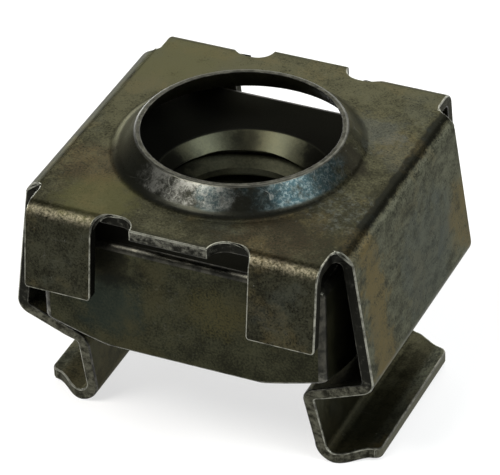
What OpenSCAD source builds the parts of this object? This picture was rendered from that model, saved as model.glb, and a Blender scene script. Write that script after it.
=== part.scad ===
// Cage nut for a 9.5 mm square rack hole: a loose M6 square nut in a spring-steel cage.
// X runs across the two spring legs, Y across the folded tabs and Z up the screw axis.
// The origin is on the thread axis, in the plane that the two feet stand on.

/* [Cage sheet] */
// Thickness of the spring steel
sheet_t = 0.45; // [0.4:0.05:0.5]
// Height of the top plate's upper face above the feet
plate_h = 10.02; // [9.8:0.02:10.4]
// Width of the top plate across the two side walls
plate_w = 12.5; // [12.2:0.02:12.6]
// Outside radius of the folds between the top plate and the side walls
fold_r = 0.75; // [0.7:0.05:0.95]

/* [Drawn collar] */
// Height of the collar's rim above the plate
collar_h = 0.85; // [0.7:0.05:1]
// Outside radius of the rim
rim_r = 3.82; // [3.7:0.02:3.9]
// Width of the rim's edge
rim_t = 0.22; // [0.18:0.02:0.26]
// Radius where the collar's outer cone would meet the plate
collar_root_r = 4.56; // [4.5:0.02:4.7]

/* [Side walls and spring legs] */
// Width of each side wall along Y
wall_w = 9.5; // [9.2:0.05:9.6]
// Outward slope of the side walls, from vertical
wall_flare = 7.9; // [7:0.1:9]
// Height at which the flanges carry the nut
seat_h = 4.07; // [4:0.01:4.2]
// Slope of the flanges, falling towards the middle
flange_slope = 22; // [18:0.5:25]
// Outside radius of the tight fold between a wall and its flange
heel_r = 0.6; // [0.6:0.02:0.7]
// Distance across the outer faces of the two legs, where they meet the flanges
neck_w = 9.4; // [9.2:0.02:9.5]
// Outward lean of the legs, from vertical
leg_lean = 3; // [2:0.1:5]
// Width of each leg where it turns into its foot
leg_foot_w = 8.0; // [7.8:0.1:8.3]
// Outside radius of the turn from leg to foot
foot_r = 0.8; // [0.8:0.05:0.9]
// Distance across the tips of the two feet
feet_w = 13.26; // [13:0.02:13.4]
// Width of each foot at its tip
foot_tip_w = 6.6; // [6.2:0.1:6.8]

/* [Tabs and stubs] */
// Distance across the outer faces of the tabs, at their folds
tab_span = 12.5; // [12.4:0.02:12.6]
// Outside radius of the folds between the top plate and the tabs
tab_fold_r = 0.65; // [0.5:0.05:0.9]
// Outward lean of the tabs, from vertical
tab_lean = 8; // [6:0.5:10]
// Depth of the tabs below the top of the plate
tab_drop = 3.25; // [3:0.05:3.6]
// Distance from the middle to the inner edge of a tab
tab_inner = 3; // [2.9:0.02:3.16]
// Distance from the middle to the outer edge of a tab
tab_outer = 5.6; // [5.5:0.02:5.7]
// Width of the stub between the two tabs of a side
stub_w = 3.02; // [2.9:0.02:3.1]
// Distance across the ends of the two stubs
stub_span = 12.64; // [12.6:0.02:12.8]
// Distance from the middle to the floor of the notches
notch_floor = 5.66; // [5.5:0.02:5.7]

/* [Square nut] */
// Width across the flats
nut_w = 11; // [10.8:0.05:11.1]
// Thickness of the nut
nut_t = 4.52; // [4.4:0.02:4.7]
// Radius of the threaded bore: the M6 minor diameter is 5 mm
bore_r = 2.5; // [2.5:0.01:2.55]
// Radius of the countersinks at the faces
countersink_r = 3.36; // [3.2:0.02:3.4]
// Radius on the lower face where the corner chamfer starts
chamfer_r = 6.25; // [6:0.05:7]
// Slope of the corner chamfer
chamfer_slope = 25; // [20:1:40]

/* [Hidden] */
$fn = 96;
steel = [0.30, 0.29, 0.25];
nut_steel = [0.24, 0.24, 0.21];

mid_h = plate_h - sheet_t / 2;
notch_r = 0.62;
relief_r = 0.35;
tab_corner_r = 0.2;
far = 20;
lap_angle = 2;
lap_step = 0.002;
cut_margin = 0.1;
// How far the bent strips reach into the plate, and how deep the plate's cut-outs go
plate_lap = 1.2;
cut_floor = 5;

// The bent strips are drawn along the middle of the sheet. Each is a list of corner
// points and a list of the radii, at the middle of the sheet, that round the corners.
wall_tan = tan(wall_flare);
wall_x0 = plate_w / 2 - sheet_t / 2 / cos(wall_flare);
seat_x = nut_w / 2;
flange_z0 = seat_h - sheet_t / 2 / cos(flange_slope);
leg_x0 = neck_w / 2 - sheet_t / 2 / cos(leg_lean);
neck_h = 2.7;
// Each foot has a shallow toe: it rises over a short length before its tip
toe_l = 1.08;
toe_flat = 0.43;
toe_rise = 0.09;

function wall_x(z) = wall_x0 + (plate_h - z) * wall_tan;
function leg_x(z) = leg_x0 + (neck_h - z) * tan(leg_lean);
// Point where a line x = x0 - z * slope meets the flange's middle line
function on_flange(x0, slope) =
    let (rise = tan(flange_slope),
         z = (flange_z0 + (x0 - seat_x) * rise) / (1 + slope * rise))
    [x0 - z * slope, z];

heel = on_flange(wall_x0 + plate_h * wall_tan, wall_tan);
leg_top = on_flange(leg_x0 + neck_h * tan(leg_lean), tan(leg_lean));
foot_mid = sheet_t / 2;
side_path = [
    [plate_w / 2 - plate_lap, mid_h],
    [wall_x(mid_h), mid_h],
    heel,
    leg_top,
    [leg_x(foot_mid), foot_mid],
    [feet_w / 2 - toe_l, foot_mid],
    [feet_w / 2 - toe_flat, foot_mid + toe_rise],
    [feet_w / 2, foot_mid + toe_rise]
];
side_radii = [0, fold_r, heel_r, heel_r + 0.05, foot_r, 2, 1.2, 0];

tab_fold_y = tab_span / 2 - sheet_t / 2;
tab_end_h = plate_h - tab_drop;
tab_path = [
    [tab_fold_y - plate_lap, mid_h],
    [tab_fold_y, mid_h],
    [tab_fold_y + (mid_h - tab_end_h) * tan(tab_lean), tab_end_h]
];
tab_radii = [0, tab_fold_r, 0];

function heading(p, i) = atan2(p[i + 1][1] - p[i][1], p[i + 1][0] - p[i][0]);
function wrap(a) = a > 180 ? a - 360 : (a < -180 ? a + 360 : a);
function turn(p, i) = wrap(heading(p, i) - heading(p, i - 1));
// Distance from a corner to the start of its bend
function setback(p, r, i) =
    i == 0 || i == len(p) - 1 ? 0 : (r[i] - sheet_t / 2) * tan(abs(turn(p, i)) / 2);

// Flat stretch of sheet between corners i and i + 1
module flat(p, r, i) {
    start = setback(p, r, i);
    length = norm(p[i + 1] - p[i]) - start - setback(p, r, i + 1);
    translate(p[i])
        rotate(heading(p, i))
            translate([start, -sheet_t / 2])
                square([length, sheet_t]);
}

// Bend at corner i: a sector of a ring about the bend's centre. Its ends lap a little
// way into the flats, and it is two microns shy of their faces so that it joins inside them.
module bend(p, r, i) {
    angle = abs(turn(p, i));
    side = sign(turn(p, i));
    directions = [-lap_angle, angle / 2, angle + lap_angle];
    translate(p[i])
        rotate(heading(p, i - 1))
            translate([-setback(p, r, i), side * (r[i] - sheet_t / 2)])
                intersection() {
                    difference() {
                        circle(r[i] - lap_step);
                        circle(r[i] - sheet_t + lap_step);
                    }
                    polygon([
                        [0, 0],
                        for (a = directions) far * [sin(a), -side * cos(a)]
                    ]);
                }
}

// Section of a bent strip of sheet
module strip_section(p, r) {
    for (i = [0 : len(p) - 2]) flat(p, r, i);
    for (i = [1 : len(p) - 2]) bend(p, r, i);
}

// Extrudes a section drawn in X and Z along Y, over the given width
module along_y(width) {
    translate([0, width / 2, 0])
        rotate([90, 0, 0])
            linear_extrude(width)
                children();
}

module both_sides() {
    children();
    rotate(180) children();
}

module mirrored_y() {
    children();
    mirror([0, 1, 0]) children();
}

module mirrored_x() {
    children();
    mirror([1, 0, 0]) children();
}

// Side view of the sheet along X: straight wall, then the leg's slow taper
module leg_side_outline() {
    wide = wall_w / 2;
    root = wide + relief_r;
    narrow = leg_foot_w / 2;
    polygon([
        [-root, plate_h + 1], [-root, cut_floor], [-wide, cut_floor], [-wide, seat_h - heel_r],
        [-narrow, foot_r], [-narrow, -1], [narrow, -1], [narrow, foot_r],
        [wide, seat_h - heel_r], [wide, cut_floor], [root, cut_floor], [root, plate_h + 1]
    ]);
}

// Plan of one foot: an S-shaped narrowing from the leg to a tip with round corners
foot_blend = 1.4;
foot_start = feet_w / 2 - foot_blend - 0.18;
foot_corner_r = 0.3;
function foot_half_w(u) =
    leg_foot_w / 2 - (leg_foot_w - foot_tip_w) / 2 * (1 - cos(180 * u)) / 2;
foot_edge = concat(
    [[0, leg_foot_w / 2 + 1], [foot_start, leg_foot_w / 2 + 1]],
    [for (i = [0 : 10]) [foot_start + foot_blend * i / 10, foot_half_w(i / 10)]],
    [for (a = [75 : -15 : 0])
        [feet_w / 2 - foot_corner_r + foot_corner_r * cos(a),
         foot_tip_w / 2 - foot_corner_r + foot_corner_r * sin(a)]]
);

module foot_trim() {
    difference() {
        translate([0, -far / 2]) square([far / 2, far]);
        mirrored_y() polygon(concat(foot_edge, [[feet_w / 2, -0.01], [0, -0.01]]));
    }
}

// Side wall, flange, leg and foot of the +X side
module side_spring() {
    difference() {
        intersection() {
            along_y(wall_w + 2 * relief_r) strip_section(side_path, side_radii);
            rotate([90, 0, 90]) linear_extrude(far) leg_side_outline();
        }
        translate([0, 0, -1]) linear_extrude(1 + 2 * foot_r) foot_trim();
    }
}

// Tab of the +X, +Y corner, with its lower corners rounded
module tab() {
    intersection() {
        translate([tab_inner - notch_r, 0, 0])
            rotate([90, 0, 90])
                linear_extrude(tab_outer + cut_margin - tab_inner + notch_r)
                    strip_section(tab_path, tab_radii);
        translate([0, far / 2, 0])
            rotate([90, 0, 0])
                linear_extrude(far)
                    tab_face();
    }
}

// Front view of the tab. The round of the notch runs out within the fold.
module tab_face() {
    r = tab_corner_r;
    tab_w = tab_outer - tab_inner;
    translate([tab_inner, tab_end_h + r]) square([tab_w + cut_margin, tab_drop]);
    translate([tab_inner + r, tab_end_h]) square([tab_w - 2 * r, 1]);
    translate([tab_inner + r, tab_end_h + r]) circle(r);
    translate([tab_outer - r, tab_end_h + r]) circle(r);
    translate([tab_inner - notch_r, plate_h - tab_fold_r])
        difference() {
            square([notch_r + cut_margin, tab_fold_r]);
            circle(notch_r);
        }
}

// Notch beside the stub, in plan, for the +X, +Y corner
module notch() {
    width = tab_inner - stub_w / 2;
    translate([stub_w / 2, notch_floor]) {
        translate([0, notch_r]) square([width, 2]);
        translate([notch_r, 0]) square([width - 2 * notch_r, 2]);
        translate([notch_r, notch_r]) circle(notch_r);
        translate([width - notch_r, notch_r]) circle(notch_r);
    }
}

// Corner relief between a tab and a side wall, in plan
module relief() {
    translate([tab_outer, wall_w / 2]) {
        translate([relief_r, 0]) square([2, 4]);
        translate([0, relief_r]) square([2, 4]);
        translate([relief_r, relief_r]) circle(relief_r);
    }
}

module all_corners() {
    mirrored_x() mirrored_y() children();
}

// Flat of the top plate, out to where its folds begin
module plate_outline() {
    bend_x = side_path[1][0] - setback(side_path, side_radii, 1);
    bend_y = tab_path[1][0] - setback(tab_path, tab_radii, 1);
    square([2 * bend_x, wall_w + 2 * relief_r], center = true);
    square([2 * tab_outer, 2 * bend_y], center = true);
    square([stub_w, stub_span], center = true);
    square([stub_w + 2 * notch_r, 2 * (notch_floor + notch_r)], center = true);
}

// Section of the drawn collar: a thin cone that flares into the plate
cove_r = 0.6;
throat_r = 0.8;
ring_r = 5.2;
outer_slope = atan2(collar_h, collar_root_r - rim_r);
cove_set = cove_r * tan(outer_slope / 2);
cove_x = collar_root_r + cove_set;
throat_x = 4.95;
throat = [throat_x, plate_h - sheet_t + throat_r];
inner_rim = [rim_r - rim_t, plate_h + collar_h];
to_throat = throat - inner_rim;
inner_slope = asin(throat_r / norm(to_throat)) - atan2(to_throat[1], to_throat[0]);

module collar_section() {
    polygon(concat(
        [[ring_r, plate_h - sheet_t], [ring_r, plate_h]],
        [for (i = [0 : 6])
            [cove_x, plate_h + cove_r]
            + cove_r * [-sin(outer_slope * i / 6), -cos(outer_slope * i / 6)]],
        [[rim_r, plate_h + collar_h], inner_rim],
        [for (i = [0 : 6])
            let (a = inner_slope * (1 - i / 6))
            throat + throat_r * [-sin(a), -cos(a)]]
    ));
}

module spring_cage() {
    color(steel) {
        difference() {
            union() {
                translate([0, 0, plate_h - sheet_t]) linear_extrude(sheet_t) plate_outline();
                both_sides() side_spring();
                all_corners() tab();
            }
            translate([0, 0, plate_h - 1]) cylinder(r = ring_r, h = 2);
            translate([0, 0, cut_floor]) linear_extrude(far) all_corners() notch();
            translate([0, 0, cut_floor]) linear_extrude(far) all_corners() relief();
        }
        rotate_extrude() collar_section();
    }
}

module countersink() {
    rise = countersink_r - bore_r;
    cylinder(r1 = bore_r, r2 = countersink_r, h = rise);
    translate([0, 0, rise]) cylinder(r = countersink_r, h = 1);
}

// Square nut, drawn standing on its lower face
module nut_body() {
    corner = nut_w / sqrt(2);
    rise = (corner + 1 - chamfer_r) * tan(chamfer_slope);
    intersection() {
        translate([-nut_w / 2, -nut_w / 2, 0]) cube([nut_w, nut_w, nut_t]);
        union() {
            cylinder(r1 = chamfer_r, r2 = corner + 1, h = rise);
            translate([0, 0, rise]) cylinder(r = corner + 1, h = nut_t);
        }
    }
}

module square_nut() {
    depth = countersink_r - bore_r;
    color(nut_steel)
        translate([0, 0, seat_h])
            difference() {
                nut_body();
                translate([0, 0, -1]) cylinder(r = bore_r, h = nut_t + 2);
                translate([0, 0, nut_t - depth]) countersink();
                translate([0, 0, depth]) mirror([0, 0, 1]) countersink();
            }
}

spring_cage();
square_nut();
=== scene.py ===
# %% [markdown]
# # Dressing a cage nut for a server rack
#
# The object is a loose M6 square nut in a cage folded from one strip of spring steel.
# Its two solids come measured from the CAD model, and they settle every main size. Each
# cell takes its places from them and adds what steel shows up close: rounded edges, a
# real screw thread, and a dark heat-treated skin that is rubbed bright where other parts
# have touched it. Lengths are in metres, as the solids are, and finishes count in mm.

# %% Load the measured solids
import math

import bmesh
import bpy
from mathutils import Matrix, Vector
from mathutils.bvhtree import BVHTree


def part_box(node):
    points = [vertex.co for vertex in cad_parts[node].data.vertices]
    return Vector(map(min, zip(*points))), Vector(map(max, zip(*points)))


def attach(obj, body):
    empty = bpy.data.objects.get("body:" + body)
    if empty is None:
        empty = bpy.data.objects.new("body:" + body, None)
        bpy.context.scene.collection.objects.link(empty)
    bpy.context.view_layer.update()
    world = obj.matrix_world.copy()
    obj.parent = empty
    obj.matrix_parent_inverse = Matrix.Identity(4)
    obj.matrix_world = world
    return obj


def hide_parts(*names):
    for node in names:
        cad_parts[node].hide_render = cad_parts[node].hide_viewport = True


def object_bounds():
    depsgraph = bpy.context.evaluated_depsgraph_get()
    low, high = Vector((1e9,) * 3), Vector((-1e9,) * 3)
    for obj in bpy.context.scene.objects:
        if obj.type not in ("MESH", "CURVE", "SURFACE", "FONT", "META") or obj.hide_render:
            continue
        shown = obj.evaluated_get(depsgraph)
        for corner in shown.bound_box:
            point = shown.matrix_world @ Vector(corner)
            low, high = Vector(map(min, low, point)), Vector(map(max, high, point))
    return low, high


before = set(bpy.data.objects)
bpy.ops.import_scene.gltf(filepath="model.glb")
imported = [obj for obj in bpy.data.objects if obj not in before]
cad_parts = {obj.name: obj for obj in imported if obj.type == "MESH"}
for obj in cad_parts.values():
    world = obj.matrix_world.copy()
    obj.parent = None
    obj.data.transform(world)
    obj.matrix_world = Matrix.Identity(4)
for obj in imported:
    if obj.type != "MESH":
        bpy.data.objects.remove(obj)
cad_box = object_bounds()
MM = 0.001
print("solids:", sorted(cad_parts))
print("box in mm:", [[round(v / MM, 2) for v in corner] for corner in cad_box])

# %% [markdown]
# ## The cage keeps its shape and gets its edges
#
# A press shears the strip, then folds it. Sheared edges are never razor sharp: the punch
# rolls one side over and tumbling dulls the other, and the narrow round that is left
# catches the light as a thin pale line. The strip could be folded again from a flat
# sheet, but a copy of the solid's mesh is the better start, because its outline and folds
# are already true. The copy is welded, which also closes the hair-thin steps at the
# seams of its folds, and only the edges that turn sharply are rounded.

# %% Weld a copy of the cage and list its sharp edges
WELD = 0.006 * MM
SHARP_ANGLE = math.radians(28)

cage_mesh = bmesh.new()
cage_mesh.from_mesh(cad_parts["spring_cage"].data)
bmesh.ops.remove_doubles(cage_mesh, verts=cage_mesh.verts, dist=WELD)
unrounded = BVHTree.FromBMesh(cage_mesh)
cage_edges = [
    e for e in cage_mesh.edges if e.is_manifold and e.calc_face_angle() > SHARP_ANGLE
]
print("cage faces", len(cage_mesh.faces), "sharp edges", len(cage_edges))


# %% Collect faces that run into each other smoothly
def spreads(faces, angle):
    """Lists of faces that run into each other without turning more than the angle."""
    left = dict.fromkeys(faces)
    while left:
        spread, edge_of_it = [], [left.popitem()[0]]
        while edge_of_it:
            face = edge_of_it.pop()
            spread.append(face)
            for edge in face.edges:
                if edge.is_manifold and edge.calc_face_angle() < angle:
                    for other in edge.link_faces:
                        if other in left:
                            del left[other]
                            edge_of_it.append(other)
        yield spread


print("smooth spreads", sum(1 for _ in spreads(cage_mesh.faces, SHARP_ANGLE)))


# %% Tell the sheet's two skins from its sheared faces
# The outer and the inner skin are the only large spreads. The inner one looks down.
# The four kinds of face are places in the piece's list of materials.
SKIN, SHEARED, RUBBED, DULL = 0, 1, 2, 3
SKIN_AREA = 30 * MM ** 2

skins = []
for spread in spreads(cage_mesh.faces, SHARP_ANGLE):
    area = sum(face.calc_area() for face in spread)
    for face in spread:
        face.material_index = SKIN if area > SKIN_AREA else SHEARED
    if area > SKIN_AREA:
        skins.append(spread)
        print("skin of", round(area / MM ** 2, 1), "square mm")

inner_skin = min(skins, key=lambda spread: sum(f.normal.z * f.calc_area() for f in spread))
places = [v.co.copy() for face in inner_skin for v in face.verts]
corners = iter(range(len(places)))
inner_tree = BVHTree.FromPolygons(places, [[next(corners) for v in f.verts] for f in inner_skin])
print("inner skin faces", len(inner_skin))

# %% Round the sheared edges
# The outer edges are rubbed bright. The inner ones are sheltered and stay dull.
EDGE_ROUND = 0.056 * MM
NEAR_INNER = EDGE_ROUND * 1.5

rounded = bmesh.ops.bevel(
    cage_mesh, geom=cage_edges, offset=EDGE_ROUND, offset_type="OFFSET",
    segments=2, profile=0.5, affect="EDGES", clamp_overlap=False, material=RUBBED,
)
for face in rounded["faces"]:
    if inner_tree.find_nearest(face.calc_center_median(), NEAR_INNER)[0]:
        face.material_index = DULL
print("rounded faces", len(rounded["faces"]))

# %% Pull stray corners back
# Where two sheared edges meet almost in line, rounding throws the corner point out.
STRAY = EDGE_ROUND * 0.6

strays = 0
for vertex in cage_mesh.verts:
    on_solid, _, _, distance = unrounded.find_nearest(vertex.co)
    if distance > STRAY:
        vertex.co = on_solid
        strays += 1
print("corners pulled back", strays)

# %% [markdown]
# ## Shading that leaves flats flat
#
# Smooth shading averages the faces round a point, and that makes a flat face look
# bent wherever a fold or a rounded edge begins. Blender's Weighted Normal modifier cures
# most of it, but it weighs single triangles and leaves creases where a flat is cut into
# slivers. Here each face counts with the area of the whole flat that it belongs to, so a
# flat keeps its own direction and the fold or the round does all the turning, as it does
# in pressed steel.

# %% Work out a direction for every corner of every face
FLAT_ANGLE = math.radians(0.3)
CREASE = math.cos(math.radians(42))


def corner_normals(mesh):
    """A direction for each corner of each face, weighed by the area of whole flats."""
    mesh.normal_update()
    weight = {}
    for flat in spreads(mesh.faces, FLAT_ANGLE):
        area = sum(face.calc_area() for face in flat)
        weight.update((face, area) for face in flat)
    normals = []
    for face in mesh.faces:
        for corner in face.loops:
            total = Vector()
            for near in corner.vert.link_loops:
                if near.face.normal.dot(face.normal) > CREASE:
                    total += near.face.normal * weight[near.face] * near.calc_angle()
            normals.append(total.normalized() if total.length_squared else face.normal.copy())
    return normals


print("flats in the cage", sum(1 for _ in spreads(cage_mesh.faces, FLAT_ANGLE)))


# %% Turn a mesh into a shaded piece
def make_piece(mesh, name):
    """The mesh as a smooth object that rides on the part's only body."""
    for face in mesh.faces:
        face.smooth = True
    normals = corner_normals(mesh)
    data = bpy.data.meshes.new(name)
    mesh.to_mesh(data)
    mesh.free()
    data.normals_split_custom_set(normals)
    piece = bpy.data.objects.new(name, data)
    bpy.context.scene.collection.objects.link(piece)
    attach(piece, "root")
    print(name, "triangles", sum(len(p.vertices) - 2 for p in data.polygons))
    return piece


cage = make_piece(cage_mesh, "cage_sheet")
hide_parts("spring_cage")

# %% [markdown]
# ## The nut and its thread
#
# The nut is a square slug with a tapped hole. Its solid has a plain bore, because a fine
# thread is a matter of looks. A tap cuts one continuous groove. That could be a Screw
# modifier and a boolean, but a boolean leaves ragged faces where the groove runs out. So
# the bore is one sleeve whose rows climb along the helix: the crests lie exactly on rows
# of points and stay crisp. Where the countersink is wider than the thread, the sleeve
# simply follows the countersink, as the real cut does.

# %% Sizes of the nut, taken from its solid
# Its box gives the flats and the height. The bore, the countersinks and the chamfer
# repeat the solid's own values, and the root is as deep as an M6 thread's.
nut_low, nut_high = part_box("square_nut")
HALF_FLAT = nut_high.x
NUT_LOW, NUT_HIGH = nut_low.z, nut_high.z
NUT_T = NUT_HIGH - NUT_LOW
CREST_R = 2.5 * MM
PITCH = 1 * MM
ROOT_R = CREST_R + 0.5413 * PITCH
SINK_R = 3.36 * MM
CHAMFER_R = 6.25 * MM
CHAMFER_SLOPE = math.radians(25)
print("nut thickness in mm", round(NUT_T / MM, 2))

# %% One turn of thread, as radius against height
# Heights are in pitches: a flat crest, a flank, a flat root, and a flank back to the
# crest. The two flanks stand 60 degrees apart.
THREAD = [(0.0, CREST_R), (0.25, CREST_R), (0.5625, ROOT_R), (0.6875, ROOT_R)]
STEPS = 8

profile = []
for (h0, r0), (h1, r1) in zip(THREAD, THREAD[1:] + [(1.0, CREST_R)]):
    profile += [(h0 + (h1 - h0) * k / STEPS, r0 + (r1 - r0) * k / STEPS) for k in range(STEPS)]
print("rows in a pitch", len(profile))

# %% Find a point of the bore
# A turn has this many points, and the thread starts a part of a pitch below the nut.
TURN = 144
PER_PITCH = len(profile)
THREAD_SHIFT = 0.22


def sink_radius(z):
    """Radius of the two countersinks at a height: they cut 45 degree cones."""
    return SINK_R - min(z - NUT_LOW, NUT_HIGH - z)


def bore_point(turn, row):
    """A point of the helix, kept between the nut's faces and out of the countersinks."""
    lap, step = divmod(row, PER_PITCH)
    height, radius = profile[step]
    z = NUT_LOW + (lap + height + turn / TURN - THREAD_SHIFT) * PITCH
    z = min(max(z, NUT_LOW), NUT_HIGH)
    radius = max(radius, sink_radius(z))
    angle = 2 * math.pi * turn / TURN
    return Vector((radius * math.cos(angle), radius * math.sin(angle), z))


print("points in a turn", TURN)

# %% Build the bore as a sleeve that climbs the helix
nut_mesh = bmesh.new()
first_row = -2 * PER_PITCH
last_row = (int(NUT_T / PITCH) + 2) * PER_PITCH
columns = [
    {row: nut_mesh.verts.new(bore_point(turn, row)) for row in range(first_row, last_row)}
    for turn in range(TURN)
]
for turn in range(TURN):
    here = columns[turn]
    wraps = turn == TURN - 1
    there = columns[0] if wraps else columns[turn + 1]
    lift = PER_PITCH if wraps else 0
    for row in range(first_row, last_row - 1 - lift):
        nut_mesh.faces.new((here[row + 1], there[row + 1 + lift], there[row + lift], here[row]))
print("bore faces", len(nut_mesh.faces))


# %% [markdown]
# ## The nut's square body
#
# The slug is sawn or sheared from a bar, turned at its lower corners and tumbled, so its
# upper edges are softly round and the lower ones only just broken. A cube with a hole
# cut by a boolean would need cleaning before a bevel runs round it well. Rings of points
# with the same columns as the bore join it face by face, so the nut is closed from the
# start and its four outer edges are easy to find.

# %% Wrap the square body round the bore
def square_radius(angle):
    """How far the flats lie from the axis in a direction."""
    return HALF_FLAT / max(abs(math.cos(angle)), abs(math.sin(angle)))


def chamfer_height(r):
    return NUT_LOW + max(0, r - CHAMFER_R) * math.tan(CHAMFER_SLOPE)


def ring(radius_at, height_at):
    """One closed row of points, with a point at each column of the bore."""
    points = []
    for turn in range(TURN):
        angle = 2 * math.pi * turn / TURN
        r = radius_at(angle)
        points.append(nut_mesh.verts.new((r * math.cos(angle), r * math.sin(angle), height_at(r))))
    return points


rings = [
    ring(lambda a: SINK_R, lambda r: NUT_HIGH),
    ring(square_radius, lambda r: NUT_HIGH),
    ring(square_radius, chamfer_height),
    ring(lambda a: min(square_radius(a), CHAMFER_R), lambda r: NUT_LOW),
    ring(lambda a: SINK_R, lambda r: NUT_LOW),
]
for upper, lower in zip(rings, rings[1:]):
    for turn in range(TURN):
        nxt = (turn + 1) % TURN
        nut_mesh.faces.new((upper[turn], lower[turn], lower[nxt], upper[nxt]))
print("nut faces with its body", len(nut_mesh.faces))

# %% Close the nut
MERGE = 0.002 * MM
SLIVER = 0.001 * MM

bmesh.ops.remove_doubles(nut_mesh, verts=nut_mesh.verts, dist=MERGE)
bmesh.ops.dissolve_degenerate(nut_mesh, edges=nut_mesh.edges, dist=SLIVER)
bmesh.ops.recalc_face_normals(nut_mesh, faces=nut_mesh.faces)
open_edges = [e for e in nut_mesh.edges if not e.is_manifold]
print("nut faces", len(nut_mesh.faces), "open edges", len(open_edges))

# %% Round the nut's outer edges
# The lower edge is already broken by the chamfer, so it gets a smaller round.
NUT_ROUND = 0.26 * MM
LOW_ROUND = 0.08 * MM
NUT_SHARP = math.radians(32)
FAR_OUT = HALF_FLAT * 0.98
NUT_EDGE = 1


def outer_edges(low):
    """Sharp edges away from the bore, either low on the nut or the others."""
    for edge in nut_mesh.edges:
        far_out = all(Vector(v.co.xy).length > FAR_OUT for v in edge.verts)
        if far_out and edge.is_manifold and edge.calc_face_angle() > NUT_SHARP:
            if (max(v.co.z for v in edge.verts) < NUT_LOW + NUT_T / 3) == low:
                yield edge


for low, width in ((False, NUT_ROUND), (True, LOW_ROUND)):
    bmesh.ops.bevel(
        nut_mesh, geom=list(outer_edges(low)), offset=width, offset_type="OFFSET",
        segments=3, profile=0.5, affect="EDGES", clamp_overlap=False, material=NUT_EDGE,
    )
nut = make_piece(nut_mesh, "threaded_nut")
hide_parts("square_nut")

# %% [markdown]
# ## Writing finishes as sums
#
# A finish is a few masks, and masks are sums: noise, less a threshold, times a strength.
# The shader editor can draw such sums, but a long one grows into a web of small boxes
# that nobody can read. So one small class wraps a socket and lets Python write them: an
# expression on values adds its Math nodes. Colours go through Mix, because a Math node
# would turn them grey.

# %% One class that wraps a socket
class Wire:
    """A socket's value in the making, which can be added, multiplied and blended."""

    def __init__(self, tree, socket=None):
        self.tree, self.socket = tree, socket

    def feed(self, socket, value):
        """Link a wire into a socket, or set a plain value on it."""
        if isinstance(value, Wire):
            self.tree.links.new(value.socket, socket)
        else:
            socket.default_value = value

    def node(self, kind, settings=None, sockets=None, out=0):
        """Add any node: its type, its settings, its sockets, and which output to use."""
        made = self.tree.nodes.new("ShaderNode" + kind)
        for name, value in (settings or {}).items():
            setattr(made, name, value)
        for name, value in (sockets or {}).items():
            self.feed(made.inputs[name], value)
        return Wire(self.tree, made.outputs[out])

    def maths(self, operation, *values):
        return self.node("Math", {"operation": operation}, dict(enumerate(values)))

    def __add__(self, other): return self.maths("ADD", self, other)
    def __radd__(self, other): return self.maths("ADD", other, self)
    def __sub__(self, other): return self.maths("SUBTRACT", self, other)
    def __rsub__(self, other): return self.maths("SUBTRACT", other, self)
    def __mul__(self, other): return self.maths("MULTIPLY", self, other)
    def __rmul__(self, other): return self.maths("MULTIPLY", other, self)
    def __abs__(self): return self.maths("ABSOLUTE", self)

    def between(self, low, high):
        """0 below low, 1 above high, and an eased step between them."""
        return self.node(
            "MapRange", {"interpolation_type": "SMOOTHSTEP"},
            {"Value": self, "From Min": low, "From Max": high},
        )

    def blend(self, dark, light):
        """Colour that goes from dark to light as this mask goes from 0 to 1."""
        return self.node("Mix", {"data_type": "RGBA"}, {0: self, 6: dark, 7: light}, out=2)


def rgb(r, g, b):
    return (r, g, b, 1)


print("operators on wires: + - * abs")


# %% A finish, with places and noise in millimetres
# A patch is whole up to this share of its radius, and noise shifts its border this much.
WHOLE, RAGGED = 0.45, 1.6


class Finish(Wire):
    """A material in the making. It knows where a point lies, and noise at that place."""

    def __init__(self, name):
        self.material = bpy.data.materials.new(name)
        self.material.use_nodes = True
        super().__init__(self.material.node_tree)
        at = self.node("TexCoord", out="Object")
        self.place = self.node("VectorMath", {"operation": "SCALE"}, {0: at, "Scale": 1 / MM})
        self.x, self.y, self.z = (
            self.node("SeparateXYZ", sockets={0: self.place}, out=axis) for axis in "XYZ"
        )

    def noise(self, per_mm, detail, rough, shift=0, stretch=(1, 1, 1)):
        """Noise with so many waves in a mm. Each shift gives a pattern of its own."""
        moved = self.node("Mapping", sockets={
            "Vector": self.place, "Location": (shift, -shift, shift / 2), "Scale": stretch,
        })
        return self.node("TexNoise", sockets={
            "Vector": moved, "Scale": per_mm, "Detail": detail, "Roughness": rough,
        })

    def off_axis(self):
        """Distance from the upright line through the middle of the thread."""
        flat = self.node("VectorMath", {"operation": "MULTIPLY"}, {0: self.place, 1: (1, 1, 0)})
        return self.node("VectorMath", {"operation": "LENGTH"}, {0: flat}, out="Value")

    def patches(self, ragged, *spots):
        """Sum of patches with a ragged border, each x, y, z, radius and strength."""
        masks = []
        for x, y, z, radius, strength in spots:
            away = self.node(
                "VectorMath", {"operation": "DISTANCE"}, {0: self.place, 1: (x, y, z)}, out="Value"
            )
            outside = (away * (1 / radius) + (ragged - 0.5) * RAGGED).between(WHOLE, 1.0)
            masks.append((1 - outside) * strength)
        return sum(masks[1:], masks[0])

    def bump(self, strength, depth, height):
        """A bump of this depth in mm, which feeds the shader's Normal."""
        return self.node("Bump", sockets={
            "Strength": strength, "Distance": depth * MM, "Height": height,
        })

    def fill(self, sockets):
        """Feed the shader, and hand the material over."""
        for name, value in sockets.items():
            self.feed(self.tree.nodes["Principled BSDF"].inputs[name], value)
        print(self.material.name, "nodes", len(self.tree.nodes))
        return self.material


print("millimetres in a unit:", round(1 / MM))
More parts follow.
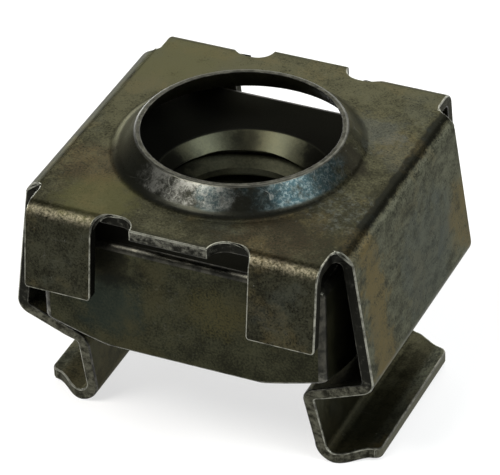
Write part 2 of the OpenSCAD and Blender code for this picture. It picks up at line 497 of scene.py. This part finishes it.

# %% [markdown]
# ## The skin of the spring steel
#
# The strip is hardened in a furnace and quenched in oil, which leaves a thin dark oxide.
# Its colour drifts between olive, brown and a cold blue where the oxide is thinner. One
# dark metal with one noise would give the right average and look like paint. So the base
# colour is built as the steel got it: slow noise first, then a tint for each place that
# cooled, rusted or was handled in its own way. Some tints are painted light and shade
# instead: darker tabs, lighter walls, a dark line along the side folds, dark hollows in the
# feet and dark places round the collar. Blender's Mix lays each tint over the last.

# %% Dark oxide, drifting to olive
# The plate lies below the collar's rim, which is the highest place of the solid.
COLLAR_RISE = 0.85
PLATE_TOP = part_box("spring_cage")[1].z / MM - COLLAR_RISE
OXIDE, PALE_OXIDE = rgb(0.011, 0.0105, 0.0052), rgb(0.050, 0.0480, 0.0270)

skin = Finish("dark_sheet_skin")
clouds = skin.noise(0.42, 5, 0.6)
blots = skin.noise(1.5, 6, 0.68, 7)
grain = (skin.noise(13, 4, 0.75, 3) - 0.5) * 1.5 + 0.5
rise = skin.z - PLATE_TOP
drift = (skin.y * 0.012 - skin.x * 0.008) * rise.between(-0.3, 0.0)
tone = (clouds * 0.26 + blots * 0.38 + grain * 0.36 + drift).between(0.40, 0.60)
colour = tone.blend(OXIDE, PALE_OXIDE)
print("plate top in mm", round(PLATE_TOP, 2), "nodes", len(skin.tree.nodes))

# %% Tints in patches on the plate, and painted shade beside the collar
OLIVE, RUST = rgb(0.052, 0.050, 0.019), rgb(0.038, 0.023, 0.012)
CHALK, HAZE = rgb(0.080, 0.088, 0.080), rgb(0.072, 0.078, 0.070)
CONE_SIDE_SHADE = rgb(0.007, 0.006, 0.0035)

olive = skin.patches(blots, (-3.4, -4.9, PLATE_TOP, 1.9, 1), (-4.8, 4.6, PLATE_TOP, 2.6, 0.6))
colour = (olive * 0.6).blend(colour, OLIVE)
rusty = skin.patches(blots, (-4.4, -2.9, PLATE_TOP, 1.6, 1), (3.4, -5.0, PLATE_TOP, 2.2, 0.7))
colour = (rusty * 0.6 * grain.between(0.3, 0.7)).blend(colour, RUST)
chalky = skin.patches(blots, (5.0, -2.6, PLATE_TOP, 1.7, 1))
chalky = chalky * skin.noise(4, 6, 0.8, 91).between(0.46, 0.66)
colour = (chalky * 0.45).blend(colour, CHALK)
hazy = skin.patches(blots, (4.1, 2.6, PLATE_TOP, 1.6, 1), (5.7, 1.5, PLATE_TOP, 1.6, 0.7))
colour = (hazy * 0.4 * (0.4 + grain)).between(0, 1).blend(colour, HAZE)
# Painted shade: dark patches on the collar's right side and on the plate in front of it.
painted_shade = skin.patches(
    blots, (4.1, 0.1, PLATE_TOP + 0.2, 1.1, 1), (3.9, -3.9, PLATE_TOP, 1.4, 0.5)
)
colour = (painted_shade * 0.7).between(0, 1).blend(colour, CONE_SIDE_SHADE)
print("nodes with the plate's patches", len(skin.tree.nodes))

# %% Tabs painted darker as shade, walls painted lighter and smeared
# Both lie past a fold, so their distance from the middle tells them from the plate.
PAST_FOLD = (6.0, 6.3)
TAB_SHADED_OXIDE, TAB_SHADED_PALE = rgb(0.007, 0.007, 0.0042), rgb(0.028, 0.0282, 0.0182)
WALL_LIT_OXIDE, WALL_LIT_PALE = rgb(0.009, 0.010, 0.0070), rgb(0.072, 0.075, 0.052)

# Painted shade: the tabs get a darker copy of the oxide. Painted light: the walls get a paler
# copy, mottled by the smear, which is the steel's own.
tab = abs(skin.y).between(*PAST_FOLD)
colour = (tab * 0.8).blend(colour, tone.blend(TAB_SHADED_OXIDE, TAB_SHADED_PALE))
wall = abs(skin.x).between(*PAST_FOLD)
smear = skin.noise(2.6, 6, 0.72, 51, (1, 0.5, 1)) * 0.6 + grain * 0.4
colour = wall.blend(colour, smear.between(0.38, 0.61).blend(WALL_LIT_OXIDE, WALL_LIT_PALE))
print("nodes with tabs and walls", len(skin.tree.nodes))

# %% A line of painted shade along each side fold
FOLD_STARTS, FOLD_ENDS = (5.70, 5.80), (6.06, 6.18)
FOLD_SHADE_DARK = rgb(0.004, 0.0042, 0.0026)

# Painted shade: the bend from the plate to each wall is darkened in the base colour.
bend = abs(skin.x) + (grain - 0.5) * 0.12 + (blots - 0.5) * 0.5
crease = bend.between(*FOLD_STARTS) * (1 - bend.between(*FOLD_ENDS))
crease = crease * rise.between(-0.6, -0.5) * (0.5 + blots)
colour = (crease * 0.85).between(0, 1).blend(colour, FOLD_SHADE_DARK)
print("nodes with the side folds", len(skin.tree.nodes))

# %% Brown and blue heat colours
# The brown gathers in a run down one wall, and the blue in a cloud beside it.
HEAT_BROWN, HEAT_BLUE = rgb(0.078, 0.060, 0.025), rgb(0.032, 0.042, 0.044)

brown = (skin.noise(0.5, 4, 0.6, 21) + blots * 0.25).between(0.60, 0.75) * 0.45
run = (1 - abs(skin.y + 3.5 + (blots - 0.5) * 3).between(0.3, 1.2)) * skin.x.between(5.9, 6.6)
brown = brown + run * 1.3 + skin.patches(blots, (6.6, 4.6, 5.9, 2.0, 1))
brown = brown * (0.1 + smear.between(0.36, 0.60) * 0.5 + grain * 0.4)
colour = brown.between(0, 1).blend(colour, HEAT_BROWN)
blue = (skin.noise(0.38, 4, 0.6, 33) + blots * 0.3).between(0.66, 0.80) * 0.55
blue = blue + skin.patches(blots, (6.8, 0.9, 6.2, 3.2, 1))
colour = (blue * 0.45 * (0.4 + smear)).between(0, 1).blend(colour, HEAT_BLUE)
print("nodes with the heat colours", len(skin.tree.nodes))

# %% Painted shade in the hollows of the feet
FEET_SHADE_DARK = rgb(0.006, 0.006, 0.003)

# Painted shade: the hollow inside the right foot and a patch on the left foot are darkened.
hollow = skin.x.between(4.4, 4.9) * (1 - skin.z.between(2.2, 3.4))
hollow = hollow * (1 - skin.y.between(-1.5, 2.0) * 0.8)
feet_shade = skin.patches(blots, (-5.6, -3.4, 0.8, 2.6, 0.3)) + hollow * (0.3 + blots * 0.6)
colour = feet_shade.between(0, 1).blend(colour, FEET_SHADE_DARK)
print("nodes with the stains", len(skin.tree.nodes))

# %% [markdown]
# ## The drawn collar and the rubbed places
#
# A punch draws the collar up out of the plate. That scrapes its cone and polishes it, so
# it takes a thinner oxide with a teal temper colour. Round the front of its foot the
# colour is painted darker, as shade. The folds of the tabs stand proud and are rubbed by
# other parts, and a painted highlight runs along them too. Wear could be found by
# Pointiness, the sharpness of the mesh at a point, but that follows how the mesh is cut
# up. The distance from the axis and the height are exact, so they place the wear, the
# painted shade and the painted highlight.

# %% Teal cone with painted shade round the front of its foot
COLLAR_FOOT = 4.85
CONE_FOOT_SHADE = rgb(0.011, 0.0115, 0.0090)
TEAL, FROST = rgb(0.016, 0.034, 0.039), rgb(0.084, 0.106, 0.104)

reach = skin.off_axis()
cone = (COLLAR_FOOT - reach).between(0.0, 0.2) * rise.between(0.11, 0.24)
# Painted shade: the front of the cone's lower part is darkened.
cone_foot_shade = reach.between(3.80, 3.90) * (1 - reach.between(4.55, 4.80))
cone_foot_shade = cone_foot_shade * (-0.15 - skin.y * 0.35).between(0, 1)
cone_foot_shade = cone_foot_shade * rise.between(-0.05, 0.0) * (0.35 + grain * 0.9)
colour = cone_foot_shade.between(0, 1).blend(colour, CONE_FOOT_SHADE)
teal = skin.patches(
    blots, (3.5, -2.4, PLATE_TOP + 0.4, 2.3, 1), (0.7, -4.0, PLATE_TOP + 0.4, 0.8, 0.7)
)
chipped = skin.noise(2.6, 5, 0.6, 25).between(0.22, 0.54)
frost = skin.noise(8, 5, 0.8, 16).between(0.46, 0.60)
colour = (cone * teal * chipped * 0.8).blend(colour, frost.blend(TEAL, FROST))
print("nodes with the collar", len(skin.tree.nodes))

# %% Tab folds: rubbed, with a painted highlight
FOLD_OUT = 6.1
TAB_STARTS = (2.0, 2.6)
FOLD_HIGHLIGHT_METAL = rgb(0.200, 0.178, 0.125)

# Partly wear and partly painted highlight: a warm bright band along each tab's fold.
tab_fold = abs(skin.y).between(FOLD_OUT - 0.3, FOLD_OUT) * rise.between(-0.5, -0.2)
tab_fold = tab_fold * abs(skin.x).between(*TAB_STARTS)
rub_and_highlight = (skin.noise(8, 6, 0.75, 9) + grain * 0.3).between(0.50, 0.95)
colour = (tab_fold * rub_and_highlight * 0.9).blend(colour, FOLD_HIGHLIGHT_METAL)
print("nodes with the tab folds", len(skin.tree.nodes))

# %% Bare metal: a scraped collar, long strokes, drag marks and specks
# Noise squeezed flat along one axis gives marks that run along it.
ALONG_X, ALONG_Z = (0.06, 1, 1), (1, 1, 0.06)
BARE_METAL = rgb(0.170, 0.170, 0.152)

scrape = (skin.noise(1.3, 3, 0.5, 15) * 0.7 + skin.noise(10, 5, 0.8, 16) * 0.5).between(0.46, 0.72)
scraped = cone * scrape * skin.patches(blots, (-0.5, -4.1, PLATE_TOP + 0.4, 2.4, 1))
stroke = 1 - abs(skin.noise(0.8, 1, 0.4, 61) - 0.5).between(0.0, 0.006)
stroke = stroke * blots.between(0.48, 0.60)
drag = skin.noise(7, 2, 0.5, 81, ALONG_X).between(0.66, 0.74)
drag = drag + skin.noise(7, 2, 0.5, 83, ALONG_Z).between(0.68, 0.74)
specks = skin.noise(3.2, 3, 0.8, 40).between(0.69, 0.76)
bare = scraped * 0.65 + stroke * (0.22 + cone * 0.5) + drag * blots * 0.22 + specks * 0.5
colour = bare.between(0.0, 1.0).blend(colour, BARE_METAL)
print("nodes with the bare metal", len(skin.tree.nodes))

# %% Gloss and relief of the skin
# The legs and feet keep more of their scale, so the steel below is rougher.
OXIDE_IOR = 1.3

below = 1 - skin.z.between(3.0, 3.6)
cage.data.materials.append(skin.fill({
    "Base Color": colour,
    "Metallic": 0.75,
    "Roughness": 0.19 + grain * 0.16 + blots * 0.08 + tab_fold * 0.20 + below * 0.14,
    "Normal": skin.bump(0.6, 0.006, grain * 0.45 + blots * 1.5 + clouds * 4),
    "Specular Tint": rgb(0.50, 0.50, 0.45),
    "IOR": OXIDE_IOR,
}))

# %% [markdown]
# ## Sheared faces and their edges
#
# The punch cuts the first part of the sheet and tears the rest, so a sheared face is
# coarser than the skin and has small bright burnished spots. Its outer edges rub against
# everything and shine in streaks. Its inner ones are sheltered and stay dull. One finish
# with a mask for edges would need to know where they are. The bevel already marked its
# faces, so each kind has a material of its own in the slot that the mark names.

# %% Places that the sheared faces and edges share
RIM_UP = (0.5, 0.7)
TIP_OUT, TIP_TOP = (6.45, 6.6), (1.4, 1.8)


def collar_rim(finish):
    return (finish.z - PLATE_TOP).between(*RIM_UP)


def foot_tip(finish):
    return abs(finish.x).between(*TIP_OUT) * (1 - finish.z.between(*TIP_TOP))


print("rim starts in mm at", round(PLATE_TOP + RIM_UP[0], 2))

# %% Torn face of the sheet
TORN, BURNISHED = rgb(0.006, 0.006, 0.0045), rgb(0.12, 0.118, 0.096)
LOW_TORN, LOW_BURNISHED = rgb(0.012, 0.011, 0.006), rgb(0.072, 0.070, 0.046)

sheared = Finish("sheared_sheet_face")
rim, tip = collar_rim(sheared), foot_tip(sheared)
torn = sheared.noise(3.2, 7, 0.75, 4)
torn = torn + rim * (0.5 - torn) * 0.6
grain = sheared.noise(16, 3, 0.6, 6)
proud = abs(sheared.y).between(5.8, 6.2) * (0.6 + (sheared.z - PLATE_TOP + 0.25) * 2)
low = 1 - sheared.z.between(4.2, 4.6)
spots = torn + proud * 0.16 + rim * 0.12 + low * 0.14 + tip * 0.2 - 0.06
arch = (abs(sheared.x) + 0.2 * sheared.z).between(6.2, 6.5) * sheared.z.between(4.6, 5.2)
spots = spots.between(0.46, 0.70) * (1 - arch * 0.5)
colour = spots.blend(TORN, BURNISHED)
cage.data.materials.append(sheared.fill({
    "Base Color": (low * 0.6).blend(colour, spots.blend(LOW_TORN, LOW_BURNISHED)),
    "Metallic": 0.8,
    "Roughness": 0.36 + grain * 0.2,
    "Normal": sheared.bump(0.8, 0.010, torn * 2 + grain * 0.5),
    "Specular Tint": rgb(0.5, 0.5, 0.45),
}))

# %% Rubbed outer edges
# The collar's rim and the tips of the feet are rubbed less, so they keep more oxide.
EDGE_DARK, EDGE_BRIGHT = rgb(0.055, 0.055, 0.043), rgb(0.23, 0.23, 0.19)
SPARED = rgb(0.025, 0.025, 0.020)

rubbed = Finish("rubbed_sheet_edge")
worn = rubbed.noise(2.4, 7, 0.7, 14)
colour = worn.between(0.34, 0.60).blend(EDGE_DARK, EDGE_BRIGHT)
spared = collar_rim(rubbed) * 0.75 + foot_tip(rubbed) * 0.6
cage.data.materials.append(rubbed.fill({
    "Base Color": spared.blend(colour, SPARED),
    "Metallic": 0.9,
    "Roughness": 0.42 - worn * 0.2,
}))

# %% Dull inner edges
DULL_DARK, DULL_BRIGHT = rgb(0.012, 0.012, 0.009), rgb(0.08, 0.078, 0.062)

dull = Finish("dull_sheet_edge")
worn = dull.noise(2.4, 7, 0.7, 34)
cage.data.materials.append(dull.fill({
    "Base Color": worn.between(0.44, 0.66).blend(DULL_DARK, DULL_BRIGHT),
    "Metallic": 0.85,
    "Roughness": 0.46 - worn * 0.15,
}))

# %% [markdown]
# ## The blackened nut
#
# The nut is blackened in a hot bath, which gives an even, slightly green black. It isn't
# drawn or folded, so it has less colour than the cage: a scuffed front, a gold and a
# cold tint, a matt top and a bore that the tap left a little brighter. Painted shade
# darkens the top and the ends of the countersink, and a painted shadow of the left tab
# lies on the front. The cage's skin could be used again, but its tints are tied to the
# plate. The same class writes a shorter sum, and the rounded edges get a rubbed finish
# as the cage's do.

# %% Black oxide with scuffs
NUT_BLACK, NUT_PALE = rgb(0.0095, 0.0098, 0.0055), rgb(0.036, 0.0363, 0.0205)
SCUFFED, NUT_BROWN = rgb(0.090, 0.090, 0.072), rgb(0.034, 0.027, 0.010)

black = Finish("blackened_nut")
clouds = black.noise(0.36, 5, 0.62, 11)
blots = black.noise(1.3, 6, 0.65, 17)
grain = (black.noise(12, 4, 0.7, 5) - 0.5) * 1.4 + 0.5
tone = (clouds * 0.26 + blots * 0.34 + grain * 0.40).between(0.40, 0.61)
colour = tone.blend(NUT_BLACK, NUT_PALE)
scuff = black.patches(blots, (-0.6, -5.5, 6.3, 2.3, 1))
scuff = scuff * black.noise(4, 6, 0.75, 71).between(0.50, 0.66)
specks = black.noise(3.0, 3, 0.8, 44).between(0.68, 0.76)
drag = black.noise(6, 2, 0.5, 85, ALONG_X).between(0.66, 0.74) * blots
colour = (scuff * 0.32 + specks * 0.35 + drag * 0.3).between(0, 1).blend(colour, SCUFFED)
brown = (clouds + blots * 0.2).between(0.60, 0.74)
colour = (brown * 0.35 * (0.3 + grain)).blend(colour, NUT_BROWN)
print("nodes with the scuffs", len(black.tree.nodes))

# %% Matt top painted dark as shade, brighter bore with painted shade at its ends
NUT_TOP = NUT_HIGH / MM
BORE_WALL = 3.45
TOP_SHADE_BLACK, BORE_PALE = rgb(0.007, 0.007, 0.0055), rgb(0.036, 0.037, 0.025)
BORE_SHADE_BLACK = rgb(0.006, 0.006, 0.0045)

# Painted shade: the top, which lies under the cage's plate, is darkened.
top = black.z.between(NUT_TOP - 0.06, NUT_TOP - 0.02)
colour = top.blend(colour, TOP_SHADE_BLACK)
bore = (BORE_WALL - black.off_axis()).between(0.0, 0.1) * (1 - top)
colour = (bore * 0.5).blend(colour, BORE_PALE)
# Painted shade: dark patches at the ends of the countersink's lit band.
bore_shade_ends = black.patches(
    blots, (-2.9, -0.2, 8.2, 1.9, 1), (2.3, 2.4, 8.2, 1.7, 1), (-1.1, 2.9, 8.2, 0.75, 0.6)
)
colour = (bore * bore_shade_ends * 0.8).between(0, 1).blend(colour, BORE_SHADE_BLACK)
print("nodes with top and bore", len(black.tree.nodes))

# %% Tints on the front face, a painted shadow, gloss and relief
GOLD, COLD = rgb(0.050, 0.043, 0.015), rgb(0.013, 0.021, 0.018)
TAB_SHADOW_BLACK = rgb(0.003, 0.003, 0.002)

gold = black.patches(blots, (1.3, -5.5, 6.6, 1.3, 1))
colour = (gold * 0.6 * grain.between(0.3, 0.7)).blend(colour, GOLD)
cold = black.patches(blots, (-2.9, -5.5, 6.0, 1.7, 1))
colour = (cold * 0.55).blend(colour, COLD)
# Painted shadow: the left tab's shadow on the nut's front face.
painted_shade = black.patches(blots, (-2.8, -5.5, 7.8, 1.4, 1))
nut.data.materials.append(black.fill({
    "Base Color": (painted_shade * 0.75).blend(colour, TAB_SHADOW_BLACK),
    "Metallic": 0.75,
    "Roughness": 0.30 + grain * 0.18 + blots * 0.08 + top * 0.25 - bore * 0.09,
    "Normal": black.bump(0.5, 0.006, grain * 0.4 + blots * 1.5 + clouds * 3),
    "Specular Tint": rgb(0.50, 0.50, 0.42),
    "IOR": OXIDE_IOR,
}))

# %% Rubbed edges of the nut
# The edge of the lower chamfer drags over the cage, so it is the brighter one.
NUT_FOOT = NUT_LOW / MM
TOP_DARK, TOP_BRIGHT = rgb(0.012, 0.012, 0.009), rgb(0.045, 0.043, 0.033)
LOW_DARK, LOW_BRIGHT = rgb(0.03, 0.03, 0.024), rgb(0.16, 0.157, 0.13)

nut_edge = Finish("rubbed_nut_edge")
worn = nut_edge.noise(2.2, 7, 0.7, 19)
colour = worn.between(0.38, 0.62).blend(TOP_DARK, TOP_BRIGHT)
chamfer = 1 - nut_edge.z.between(NUT_FOOT + 0.9, NUT_FOOT + 1.2)
bright = worn.between(0.40, 0.60).blend(LOW_DARK, LOW_BRIGHT)
nut.data.materials.append(nut_edge.fill({
    "Base Color": (chamfer * 0.7).blend(colour, bright),
    "Metallic": 0.85,
    "Roughness": 0.44 - worn * 0.15,
}))

# %% [markdown]
# ## Floor and light
#
# Small dark steel needs something bright to reflect, or it turns into a black shape. A
# spot lamp would give it hard glints. So it stands on a pale table that glows a little,
# under wide soft lights, as in a studio. The room is dim overhead and pale near the
# horizon, so each fold shows as a change of tone.

# %% Pale floor
FLOOR_HALF = 0.6
FLOOR_GAP = 0.01 * MM
GLOW = 0.66

floor_mesh = bmesh.new()
bmesh.ops.create_grid(floor_mesh, x_segments=1, y_segments=1, size=FLOOR_HALF)
floor_data = bpy.data.meshes.new("floor")
floor_mesh.to_mesh(floor_data)
floor_mesh.free()
floor = bpy.data.objects.new("floor", floor_data)
floor.location.z = cad_box[0].z - FLOOR_GAP
bpy.context.scene.collection.objects.link(floor)
floor.data.materials.append(Finish("light_table").fill({
    "Base Color": rgb(0.34, 0.34, 0.34), "Roughness": 0.9,
    "Emission Color": rgb(1, 1, 1), "Emission Strength": GLOW,
}))

# %% Soft studio lights
LIGHT_AWAY = 0.45
WARM, COOL = (1.0, 0.98, 0.94), (0.92, 0.97, 1.0)
NEUTRAL, CREAM = (1, 1, 1), (1.0, 0.99, 0.95)


def outward(azimuth, elevation):
    """Direction from the part: 0 degrees is the front and 90 its right side."""
    a, e = math.radians(azimuth), math.radians(elevation)
    return Vector((math.sin(a) * math.cos(e), -math.cos(a) * math.cos(e), math.sin(e)))


def soft_light(name, azimuth, elevation, size, watts, colour):
    data = bpy.data.lights.new(name, "AREA")
    data.shape, data.size, data.energy, data.color = "DISK", size, watts, colour
    light = bpy.data.objects.new(name, data)
    away = outward(azimuth, elevation)
    light.location = away * LIGHT_AWAY
    light.rotation_euler = away.to_track_quat("Z", "Y").to_euler()
    bpy.context.scene.collection.objects.link(light)
    print(name, "watts", watts)


soft_light("left_box", -38, 56, 0.22, 2.0, WARM)
soft_light("right_box", 84, 50, 0.22, 1.3, COOL)
soft_light("back_box", 186, 38, 0.42, 1.1, CREAM)
soft_light("low_card", 140, 10, 0.20, 0.26, NEUTRAL)
soft_light("left_card", 224, 9, 0.16, 0.36, NEUTRAL)

# %% Dim room
HORIZON, OVERHEAD = rgb(0.85, 0.85, 0.85), rgb(0.20, 0.20, 0.20)

world = bpy.data.worlds.new("studio")
world.use_nodes = True
bpy.context.scene.world = world
room = Wire(world.node_tree)
up = room.node("SeparateXYZ", sockets={0: room.node("TexCoord", out="Generated")}, out="Z")
glow = up.between(0.02, 0.24).blend(HORIZON, OVERHEAD)
room.feed(world.node_tree.nodes["Background"].inputs["Color"], glow)
bpy.context.scene.view_settings.view_transform = "Standard"
print("room nodes", len(world.node_tree.nodes))

# %% [markdown]
# ## Camera
#
# The part is seen from above its front right corner, from a hand's breadth away through
# a long lens, so that its lines stay nearly parallel. A Track To constraint would aim
# the camera, but it can't also hold the slight roll and the part's place in the frame.
# So the direction, the roll and a small slide are worked out once and set.

# %% Look down past the front right corner
AZIMUTH, ELEVATION, ROLL = 25.222, 34.863, -2.0
DISTANCE = 135.1 * MM
AIM_BELOW_TOP = 3.52 * MM
SLIDE = Vector((-0.211, 1.082, 0)) * MM
SENSOR, LENS = 36, 268.5

aim = Vector((0, 0, cad_box[1].z - AIM_BELOW_TOP))
back = outward(AZIMUTH, ELEVATION)
turned = (-back).to_track_quat("-Z", "Y").to_matrix()
turned = turned @ Matrix.Rotation(math.radians(ROLL), 3, "Z")
camera_data = bpy.data.cameras.new("camera")
camera_data.sensor_width, camera_data.lens = SENSOR, LENS
camera_data.clip_start, camera_data.clip_end = 0.01, 10
camera = bpy.data.objects.new("camera", camera_data)
camera.rotation_mode = "QUATERNION"
camera.rotation_quaternion = turned.to_quaternion()
camera.location = aim + back * DISTANCE - turned @ SLIDE
bpy.context.scene.collection.objects.link(camera)
bpy.context.scene.camera = camera
print("camera at", [round(v, 4) for v in camera.location])
